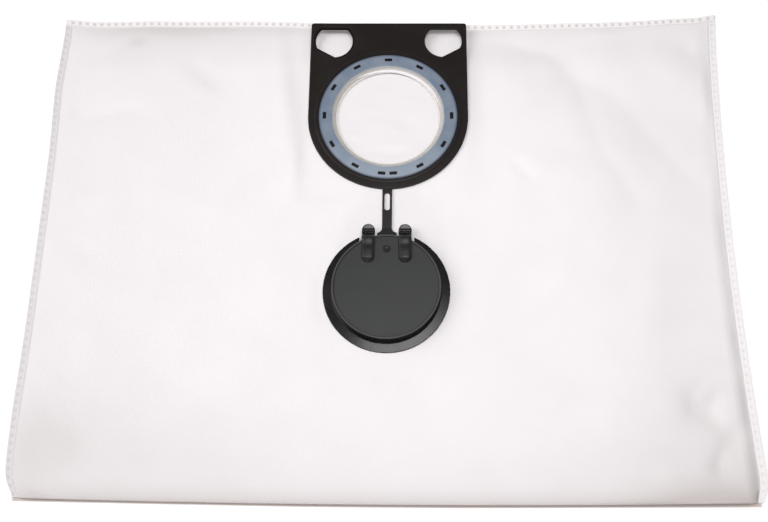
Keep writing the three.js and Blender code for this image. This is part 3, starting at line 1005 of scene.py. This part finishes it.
# Painted shade: darker along the folded edge and in the listed ovals
def paintedShadeShare(x, y):
    plan = bagPlan
    fromFold = y + bagLength / 2
    atFold = plan["paintedShadeFold"] + plan["paintedShadeFoldGrowth"] * growthShare(x)
    atFold *= math.exp(-(fromFold / plan["paintedShadeFoldReach"]) ** plan["paintedShadeFoldFall"])
    return min(atFold + ovalSum(paintedShadeOvals, x, y), 1)


def places(stops):
    # Even steps between the stops, which are all kept
    step = bagPlan["step"]
    result = [stops[0]]
    for start, end in zip(stops, stops[1:]):
        count = max(round((end - start) / step), 1)
        result += [start + (end - start) * (i + 1) / count for i in range(count)]
    return result


def holeWarp(x, y, inner, outer):
    # Square rings of the grid turn into circles towards the port
    offset = Vector((x, y - portY))
    ring = max(abs(offset.x), abs(offset.y))
    if ring >= outer:
        return x, y
    circle = offset.normalized() * (bagPlan["holeRadius"] + ring - inner)
    place = circle.lerp(offset, smooth((ring - inner) / (outer - inner)))
    return place.x, portY + place.y


def makeCloth():
    plan = bagPlan
    inner, outer = (plan["holeRadius"] * share for share in plan["holeGrid"])
    sideX = bagWidth / 2 - plan["weldWidth"]
    topY = bagLength / 2 - plan["weldWidth"]
    foldY = -bagLength / 2
    cavityX = sideX - plan["cavityInset"]
    cavityTop = topY - plan["cavityInset"]
    cavityFold = foldY + plan["ply"] + plan["foldTip"]
    foldStops = [foldY, foldY + 0.4, cavityFold, foldY + plan["foldRadius"] + 0.6]
    columns = places([-sideX, -cavityX, -outer, -inner, inner, outer, cavityX, sideX])
    rows = places(foldStops + [portY - outer, portY - inner, portY + inner, cavityTop, topY])
    insideEnds = [columns.index(-cavityX), columns.index(cavityX)]
    insideEnds += [rows.index(cavityFold), rows.index(cavityTop)]
    holeEnds = [columns.index(-inner), columns.index(inner)]
    holeEnds += [rows.index(portY - inner), rows.index(portY + inner)]
    points, shares, faces = [], [], []
    layers = {"front": {}, "back": {}, "frontInside": {}, "backInside": {}}

    def addPoint(layer, i, j, x, y, z):
        layers[layer][i, j] = len(points)
        points.append((x, y, z))
        # The front ply gets painted shade from the ovals and the fold, and the inside plies an
        # even painted shade
        share = paintedShadeShare(columns[i], rows[j]) if layer == "front" else plan["paintedShadeInside"]
        shares.append(share)

    def inHole(x, y):
        return max(abs(x), abs(y - portY)) < inner - 0.01

    for i, column in enumerate(columns):
        for j, row in enumerate(rows):
            upper, lower = sheetFaces(column, row)
            flatX, flatY = drawnIn(column, row)
            inside = insideEnds[0] <= i <= insideEnds[1] and insideEnds[2] <= j <= insideEnds[3]
            addPoint("back", i, j, flatX, flatY, lower)
            if inside:
                addPoint("backInside", i, j, flatX, flatY, lower + plan["ply"])
            if inHole(column, row):
                continue
            warpX, warpY = holeWarp(column, row, inner, outer)
            if max(abs(warpX), abs(warpY - portY)) >= outer:
                flatX, flatY = drawnIn(warpX, warpY)
            else:
                flatX, flatY = warpX + (flatX - column), warpY + (flatY - row)
            addPoint("front", i, j, flatX, flatY, upper)
            if inside:
                under = max(upper - plan["ply"], lower + plan["ply"] + plan["cavityLeast"])
                addPoint("frontInside", i, j, flatX, flatY, under)

    for layer, table in layers.items():
        for i, j in table:
            corners = [(i, j), (i + 1, j), (i + 1, j + 1), (i, j + 1)]
            if all(corner in table for corner in corners):
                middleX = (columns[i] + columns[i + 1]) / 2
                middleY = (rows[j] + rows[j + 1]) / 2
                if not ("front" in layer and inHole(middleX, middleY)):
                    faces.append(tuple(table[corner] for corner in corners))

    def addWall(first, second, iLow, iHigh, jLow, jHigh):
        path = [(i, jLow) for i in range(iLow, iHigh)]
        path += [(iHigh, j) for j in range(jLow, jHigh)]
        path += [(i, jHigh) for i in range(iHigh, iLow, -1)]
        path += [(iLow, j) for j in range(jHigh, jLow, -1)]
        one, other = layers[first], layers[second]
        for start, end in zip(path, path[1:] + path[:1]):
            faces.append((one[start], one[end], other[end], other[start]))

    addWall("front", "back", 0, len(columns) - 1, 0, len(rows) - 1)
    addWall("frontInside", "backInside", *insideEnds)
    addWall("front", "frontInside", *holeEnds)
    cloth = addMesh("fleeceCloth", points, faces, whiteFleece, sharpAngle=60)
    setShare(cloth, "paintedShade", shares)
    return cloth


# Weld strips with their pressed marks

# For each side: curl, how far the whole strip is painted greyer as painted shade, and how much of
# the marks it shows
stripPlan = {
    "pitch": 6.9,
    "markLength": 3.1,
    "markFrom": 1.3,
    "markTo": 4.3,
    "markDepth": 0.45,
    "lineFrom": 5.3,
    "lineTo": 6.6,
    "lineDepth": 0.7,
    "dotPitch": 1.725,
    "dotShare": 0.35,
    "stepsAcross": 14,
    "stepsPerMark": 12,
    "edgeRound": 0.35,
    "edgeRoundReach": 0.8,
    "sides": {"Top": (0.6, 0.0, 1.0), "Left": (1.6, 0.50, 0.65), "Right": (1.6, 0.30, 0.40)},
}


def pressShare(across, along):
    # How far the marks and the dotted line press in, across and along the strip
    plan = stripPlan
    phase = (along / plan["pitch"] + 0.5) % 1 - 0.5
    inMark = 1 - smooth((abs(phase) * plan["pitch"] - plan["markLength"] / 2 + 0.5) / 0.6)
    inMark *= smooth((across - plan["markFrom"] + 0.2) / 0.5)
    inMark *= smooth((plan["markTo"] + 0.2 - across) / 0.5)
    wave = math.cos(2 * math.pi * along / plan["dotPitch"])
    inLine = smooth((across - plan["lineFrom"]) / 0.4) * smooth((plan["lineTo"] - across) / 0.4)
    return inMark, inLine * (1 - plan["dotShare"] + plan["dotShare"] * wave)


def makeStrip(side, length, stripPlace):
    plan = stripPlan
    curl, paintedStripShade, markShare = plan["sides"][side]
    width = bagPlan["weldWidth"]
    steps = round(length / plan["pitch"] * plan["stepsPerMark"])
    last = plan["stepsAcross"]
    points, pressAndShade, top, bottom = [], [], {}, {}
    for i in range(steps + 1):
        along = (i / steps - 0.5) * length
        for j in range(last + 1):
            across = width * j / last
            x, y = stripPlace(across, along)
            inMark, inLine = pressShare(across, along)
            depth = plan["markDepth"] * inMark * markShare + plan["lineDepth"] * inLine
            rounding = plan["edgeRound"] * (1 - smooth(across / plan["edgeRoundReach"]))
            lift = curl * (1 - across / width) ** 2
            top[i, j] = len(points)
            points.append((x, y, lift + bagPlan["weldThickness"] - depth - rounding))
            # Each side's strip gets painted shade on top of its pressed marks
            pressAndShade.append(paintedStripShade + (1 - paintedStripShade) * min(inMark * markShare + inLine, 1))
            if j in (0, last):
                bottom[i, j] = len(points)
                points.append((x, y, lift))
                pressAndShade.append(0)
    faces = []
    for i in range(steps):
        for j in range(last):
            faces.append((top[i, j], top[i + 1, j], top[i + 1, j + 1], top[i, j + 1]))
        faces += [
            (bottom[i, 0], bottom[i + 1, 0], top[i + 1, 0], top[i, 0]),
            (bottom[i, last], top[i, last], top[i + 1, last], bottom[i + 1, last]),
            (bottom[i, 0], bottom[i, last], bottom[i + 1, last], bottom[i + 1, 0]),
        ]
    for i in (0, steps):
        faces.append((bottom[i, 0], *(top[i, j] for j in range(last + 1)), bottom[i, last]))
    strip = addMesh("weldStrip" + side, points, faces, weldedFleece, sharpAngle=60)
    setShare(strip, "pressAndShade", pressAndShade)
    return strip


def makeStrips():
    halfX, halfY = bagWidth / 2, bagLength / 2
    width = bagPlan["weldWidth"]
    sideLength = bagLength - width
    return [
        makeStrip("Top", bagWidth,
                  lambda across, along: drawnIn(along, halfY - across)),
        makeStrip("Left", sideLength,
                  lambda across, along: drawnIn(across - halfX, along - width / 2)),
        makeStrip("Right", sideLength,
                  lambda across, along: drawnIn(halfX - across, along - width / 2)),
    ]


bpy.context.scene.view_settings.view_transform = "Standard"
setCamera()
setWorld()
setFloor()
for name, lamp in lightPlan["lamps"].items():
    addAreaLight(name + "Light", *lamp)
print("camera, light and floor are set")

cloth = makeCloth()
strips = makeStrips()
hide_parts("fleece_bag")
for piece in [cloth, *strips]:
    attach(piece, "bag")
print("bag is made")


# Holder plate

platePlan = {
    "thickness": 2.2,
    "edgeRound": 0.9,
    "corner": 2.5,
    "port": 51.0,
    "seatGap": 0.3,
    "seatDepth": 1.2,
    "collarWidth": 3.6,
    "collarHeight": 0.7,
    "collarDepth": 1.6,
    "collarSlope": 0.9,
    "spigotWall": 1.4,
    "spigotDepth": 1.6,
    "gripRadius": 17.3,
    "gripSpacing": 102.2,
    "gripTopMargin": 7.1,
    "gripTopCut": 12.5,
    "gripTip": -87,
    "gripFlank": 207,
    "gripLipWidth": 1.6,
    "gripLipHeight": 0.5,
}


def plateOutline():
    corner = platePlan["corner"]
    return [
        *arcPoints(0, portY, plateHalf, 180, 360, 90),
        *arcPoints(plateHalf - corner, plateTopY - corner, corner, 0, 90, 8),
        *arcPoints(corner - plateHalf, plateTopY - corner, corner, 90, 180, 8),
    ]


def gripOutline(radius, side):
    plan = platePlan
    centreX = side * plan["gripSpacing"] / 2
    centreY = plateTopY - plan["gripTopMargin"] - plan["gripTopCut"]
    topAngle = math.degrees(math.asin(plan["gripTopCut"] / plan["gripRadius"]))
    outline = arcPoints(0, centreY, radius, plan["gripTip"], topAngle, 28)
    outline += arcPoints(0, centreY, radius, 180 - topAngle, plan["gripFlank"], 14)
    return [(centreX - side * x, y) for x, y in outline]


def roundedSlab(name, outlines, low, high, rounding, material):
    # The first outline is the rim and the others are holes; all edges are rounded
    curve = bpy.data.curves.new(name, "CURVE")
    curve.dimensions = "2D"
    curve.fill_mode = "BOTH"
    curve.extrude = ((high - low) / 2 - rounding) * mm
    curve.bevel_depth = rounding * mm
    curve.bevel_resolution = 3
    curve.offset = -rounding * mm
    for outline in outlines:
        spline = curve.splines.new("POLY")
        spline.points.add(len(outline) - 1)
        spline.use_cyclic_u = True
        for point, (x, y) in zip(spline.points, outline):
            point.co = (x * mm, y * mm, 0, 1)
    maker = addObject(name + "Curve", curve)
    data = evaluatedMesh(maker)
    bpy.data.objects.remove(maker)
    data.transform(Matrix.Translation((0, 0, (low + high) / 2 * mm)))
    cleanMesh(data, weld=0.001)
    data.materials.clear()
    data.materials.append(material)
    return addObject(name, data)


def makePlate():
    plan = platePlan
    base = sheetLevel
    top = base + plan["thickness"]
    seatRadius = sealRadius + plan["seatGap"]
    grips = [gripOutline(plan["gripRadius"], side) for side in (-1, 1)]
    port = arcPoints(0, portY, plan["port"], 0, 357.5, 143)
    outlines = [plateOutline(), port, *grips]
    plate = roundedSlab("holderPlate", outlines, base, top, plan["edgeRound"], blackPlastic)
    seat = turned("seatCut", [
        (0, -plan["seatDepth"]), (seatRadius, -plan["seatDepth"]), (seatRadius, 5), (0, 5),
    ], portY, top, blackPlastic)
    outer = seatRadius + plan["collarWidth"]
    collar = turned("collar", roundedPath([
        (seatRadius, -plan["collarDepth"], 0),
        (outer, -plan["collarDepth"], 0),
        (outer, plan["collarHeight"] * 0.4, 0.3),
        (outer - plan["collarSlope"], plan["collarHeight"], 0.5),
        (seatRadius, plan["collarHeight"], 0.3),
    ]), portY, top, blackPlastic)
    spigotOuter = plan["port"] + plan["spigotWall"]
    spigot = turned("spigot", roundedPath([
        (plan["port"], -plan["spigotDepth"], 0.3),
        (spigotOuter, -plan["spigotDepth"], 0.3),
        (spigotOuter, 0.6, 0),
        (plan["port"], 0.6, 0),
    ]), portY, base, blackPlastic)
    steps = [("DIFFERENCE", seat), ("UNION", collar), ("UNION", spigot)]
    for side, grip in zip((-1, 1), grips):
        ring = [gripOutline(plan["gripRadius"] + plan["gripLipWidth"], side), grip]
        lipTop = top + plan["gripLipHeight"]
        lip = roundedSlab(f"gripLip{side + 2}", ring, top - 0.8, lipTop, 0.3, blackPlastic)
        steps.append(("UNION", lip))
    cutAndJoin(plate, steps)
    shadeFlatFaces(plate)
    return plate


# Port seal

def windowCutter(radius, base):
    plan = sealPlan
    step = 2 * math.pi / plan["windowCount"]
    pair = plan["pairOffset"] / radius
    strapAngle = -math.pi / 2
    angles = [strapAngle - pair, strapAngle + pair]
    angles += [strapAngle + (i + 1) * step for i in range(plan["windowCount"] - 1)]
    corner = plan["windowCorner"]
    halfAcross, halfAlong = plan["windowWidth"] / 2 - corner, plan["windowLength"] / 2 - corner
    outline = []
    for signX, signY, start in ((1, 1, 0), (-1, 1, 90), (-1, -1, 180), (1, -1, 270)):
        outline += arcPoints(signX * halfAcross, signY * halfAlong, corner, start, start + 90, 3)
    outlines = [[(
        (radius + x) * math.cos(angle) - y * math.sin(angle),
        portY + (radius + x) * math.sin(angle) + y * math.cos(angle),
    ) for x, y in outline] for angle in angles]
    return prisms("windowCut", outlines, base - 2, base + 3, milkyRubber)


def makeSeal():
    plan = sealPlan
    base = sealHigh[2] - plan["thickness"]
    bead, lip = plan["lipBead"], plan["lipRadius"]
    lipTop = plan["thickness"] - plan["lipDrop"]
    seal = turned("portSeal", roundedPath([
        (sealRadius, 0, 0.2),
        (sealRadius, plan["thickness"], 0.3),
        (plan["shoulder"] + 0.9, plan["thickness"], 0.5),
        (lip + bead * 2.2, lipTop + bead * 1.2, 0.3),
        (lip + bead * 0.8, lipTop + bead * 1.5, 0.25),
        (lip, lipTop + bead * 0.6, 0.2),
        (lip + bead, lipTop - bead * 0.4, 0.2),
        (plan["shoulder"], 0, 0.5),
    ]), portY, base, milkyRubber)
    radius = (sealRadius + platePlan["port"]) / 2 + plan["windowOffset"]
    cutAndJoin(seal, [("DIFFERENCE", windowCutter(radius, base))])
    shadeFlatFaces(seal, 50)
    return seal


plate = makePlate()
seal = makeSeal()
for piece, node, slot in (
        (plate, "holder_plate", "black_plastic"), (seal, "port_seal", "seal_rubber")):
    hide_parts(node)
    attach(piece, "bag")
print("plate and seal are made")


# Closing lid

# Crowns and powers give the arm's round back and the tongue's flatter one
hookPlan = {
    "spacing": 31.8,
    "width": 11.3,
    "bluntness": 0.98,
    "footInset": 33.6,
    "reach": 4.0,
    "rise": 2.0,
    "saddle": 0.7,
    "armCrown": 2.3,
    "tongueCrown": 0.35,
    "armPower": 0.8,
    "tonguePower": 0.45,
    "arm": 3.0,
    "tongueLength": 7.3,
    "tongue": 1.7,
    "tongueGap": 3.1,
    "step": 1.2,
    "stepRise": 1.2,
    "tipLift": 1.7,
    "barrelEnd": 1.5,
    "barrelFade": 3.5,
    "narrowest": 0.12,
    "stepsAround": 14,
}

strapPlan = {
    "width": 8.6,
    "thickness": 1.8,
    "slotWidth": 4.8,
    "slotLength": 16.8,
    "slotTopBelowPlate": 3.7,
}


def makeDish():
    plan = lidPlan
    plug, wall, height = plan["plug"], plan["wall"], plan["height"]
    discTop = height - plan["sink"]
    profile = roundedPath([
        (0, discTop - wall, 0),
        (plug - wall, discTop - wall, 0.8),
        (plug - wall + plan["draft"], 0, 0.3),
        (lidRadius, 0, 0.3),
        (lidRadius, plan["rimEdge"], 0.45),
        (plug + plan["draft"], plan["rimEdge"] + plan["rimRise"], 0.5),
        (plug, height, 0.45),
        (plug - plan["ridge"], height, 0.45),
        (plug - plan["ridge"] - 0.2, discTop, 0.5),
        (0, discTop, 0),
    ])
    return turned("closingLid", profile, lidY, sheetLevel, greyPlastic)


def notchCutter():
    plan = lidPlan
    half = plan["notchHalf"]
    floorRadius = plan["plug"] + plan["draft"] + plan["notchLedge"]
    reach = math.degrees(math.asin(half / floorRadius))
    far = lidY + lidRadius + 6
    outline = arcPoints(0, lidY, floorRadius, 90 + reach, 90 - reach, 24)
    outline += [(half, far), (-half, far)]
    return prisms("notchCut", [outline], sheetLevel - 2, sheetLevel + 30, greyPlastic)


def makeFlare():
    plan = lidPlan
    foot = lidY + plan["plug"] - plan["wall"] / 2
    shoulder = lidY + lidRadius - plan["flareSetBack"]
    wide = plan["flareWidth"] / 2
    reach = wide - strapPlan["width"] / 2
    right = arcPoints(wide, shoulder + reach, reach, 270, 180, 10)
    left = [(-x, y) for x, y in reversed(right)]
    outline = [(-wide, foot), (wide, foot), *right, *left]
    top = sheetLevel + strapPlan["thickness"]
    return roundedSlab("strapFlare", [outline], sheetLevel, top, 0.3, greyPlastic)


def heightAt(path, y):
    for (startY, startZ), (endY, endZ) in zip(path, path[1:]):
        if startY <= y <= endY and endY > startY:
            return startZ + (endZ - startZ) * (y - startY) / (endY - startY)
    return path[0][1] if y < path[0][0] else path[-1][1]


def hookPaths():
    # The arm runs from the disc over the ridge, then down the wall to a tongue with a raised tip
    plan = hookPlan
    footY = lidY + lidRadius - plan["footInset"]
    tipY = lidY + lidRadius + plan["reach"]
    tongueY = tipY - plan["tongueLength"]
    stepY = tongueY + plan["step"]
    ridgeY = lidY + math.sqrt(lidPlan["plug"] ** 2 - (plan["spacing"] / 2) ** 2)
    ridgeTop = sheetLevel + lidPlan["height"]
    root = ridgeTop - lidPlan["sink"] - lidPlan["wall"] / 2
    top = ridgeTop + plan["rise"]
    under = sheetLevel + lidPlan["rimEdge"] + lidPlan["rimRise"] + plan["tongueGap"]
    tongue = under + plan["tongue"]
    upperPath = roundedPath([
        (footY, root + 0.6, 0),
        (footY + 0.5, top - 1.9, 1.0),
        (footY + 3.6, top + 0.1, 1.6),
        (ridgeY - 11.5, top + 0.1, 2.2),
        (ridgeY - 6.4, top - plan["saddle"], 2.0),
        (ridgeY - 1.8, top, 1.6),
        (ridgeY + 0.6, top - 0.5, 0.9),
        (tongueY, tongue, 0.5),
        (stepY, tongue + plan["stepRise"], 0.4),
        (stepY + 2.1, tongue + plan["stepRise"] - 0.1, 0.4),
        (tipY, tongue + plan["tipLift"], 0),
    ], steps=5)
    lowerPath = roundedPath([
        (footY, root - 0.2, 0),
        (ridgeY - lidPlan["wall"] / 2, root - 0.2, 0),
        (ridgeY, top - plan["arm"], 0.3),
        (tongueY - plan["tongue"], under, 0.6),
        (stepY, under, 0.6),
        (tipY, under + plan["tipLift"] + 0.4, 0),
    ], steps=5)
    return upperPath, lowerPath, footY, tipY, ridgeY


def makeHook(side):
    # Each section has a rounded back and a flat underside, and grows narrow at both ends
    plan = hookPlan
    upperPath, lowerPath, footY, tipY, ridgeY = hookPaths()
    half = plan["width"] / 2
    middle = side * plan["spacing"] / 2
    around = plan["stepsAround"]
    ends = [half * (1 - math.cos(math.radians(12 * i))) for i in range(8)]
    stations = [y for y, z in upperPath + lowerPath]
    stations += [footY + end for end in ends] + [tipY - end for end in ends]
    stations.sort()
    stations = [y for y, after in zip(stations, stations[1:] + [math.inf]) if after - y > 0.02]
    points, rings = [], []
    for y in stations:
        share = 1 - min(min(y - footY, tipY - y) / (half * plan["bluntness"]), 1)
        wide = half * max(math.sqrt(max(1 - share ** 2, 0)), plan["narrowest"])
        top, under = heightAt(upperPath, y), heightAt(lowerPath, y)
        barrel = 1 - smooth((y - ridgeY + plan["barrelEnd"]) / plan["barrelFade"])
        crown = plan["tongueCrown"] + (plan["armCrown"] - plan["tongueCrown"]) * barrel
        crown = min(crown, (top - under) * 0.6)
        power = plan["tonguePower"] + (plan["armPower"] - plan["tonguePower"]) * barrel
        section = []
        for i in range(around + 1):
            angle = math.pi * i / around
            across = math.copysign(abs(math.cos(angle)) ** power, math.cos(angle))
            section.append((wide * across, top - crown + crown * math.sin(angle) ** power))
        section += [(-wide, under), (0, under), (wide, under)]
        rings.append(range(len(points), len(points) + len(section)))
        points += [(middle + x, y, z) for x, z in section]
    faces = ringFaces(rings, capped=True)
    return addMesh(f"hook{side + 2}", points, faces, greyPlastic, sharpAngle=40)


def makeGate():
    plan = lidPlan
    radius, height = plan["gateRadius"], plan["gateHeight"]
    base = sheetLevel + plan["height"] - plan["sink"] - 0.3
    profile = roundedPath([
        (0, 0, 0),
        (radius, 0, 0),
        (radius, height * 0.7, 0.5),
        (radius * 0.62, height + 0.3, 0.5),
        (radius * 0.45, height * 0.75, 0.3),
        (0, height * 0.7, 0),
    ])
    gateY = lidY + lidRadius - plan["gateInset"]
    return turned("gateStub", profile, gateY, base, greyPlastic, steps=48)


def makeLid():
    lid = makeDish()
    steps = [("DIFFERENCE", notchCutter()), ("UNION", makeFlare()), ("UNION", makeGate())]
    steps += [("UNION", makeHook(side)) for side in (-1, 1)]
    cutAndJoin(lid, steps)
    shadeFlatFaces(lid, 38)
    return lid


def slotEnds():
    upper = portY - plateHalf - strapPlan["slotTopBelowPlate"]
    return upper - strapPlan["slotLength"], upper, strapPlan["slotWidth"] / 2


def slotHalf(y):
    # Half of the slot's width, which is 0 beyond its ends
    lower, upper, radius = slotEnds()
    inside = min(max(min(upper - y, y - lower), 0), radius)
    return math.sqrt(radius ** 2 - (radius - inside) ** 2)


def strapRows():
    lower, upper, radius = slotEnds()
    ends = [radius * (1 - math.cos(math.radians(15 * i))) for i in range(7)]
    straight = strapPlan["slotLength"] - 2 * radius
    rows = [lidY + lidRadius + 2.4, lower - 0.8, *(lower + end for end in ends)]
    rows += [lower + radius + straight * i / 20 for i in range(1, 20)]
    rows += [upper - end for end in reversed(ends)]
    return rows + [upper + 0.8, portY - plateHalf + 0.6]


def makeStrap():
    plan = strapPlan
    half = plan["width"] / 2
    low, high = sheetLevel, sheetLevel + plan["thickness"]
    points, faces = [], []
    for side in (-1, 1):
        rings = []
        for y in strapRows():
            inner = slotHalf(y)
            rings.append(len(points))
            for x, z in ((inner, low), (half, low), (half, high), (inner, high)):
                points.append((side * x, y, z))
        for lower, upper in zip(rings, rings[1:]):
            for i in range(4):
                j = (i + 1) % 4
                onAxis = i == 3 and points[lower][0] == 0 and points[upper][0] == 0
                if not onAxis:
                    faces.append((lower + i, lower + j, upper + j, upper + i))
        faces += [tuple(ring + i for i in range(4)) for ring in (rings[0], rings[-1])]
    strap = addMesh("lidStrap", points, faces, strapPlastic, weld=0.01)
    finishEdges(strap, 0.25)
    return strap


lid = makeLid()
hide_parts("closing_lid")
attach(lid, "lid")
strap = makeStrap()
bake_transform(strap)
print("lid and strap are made")
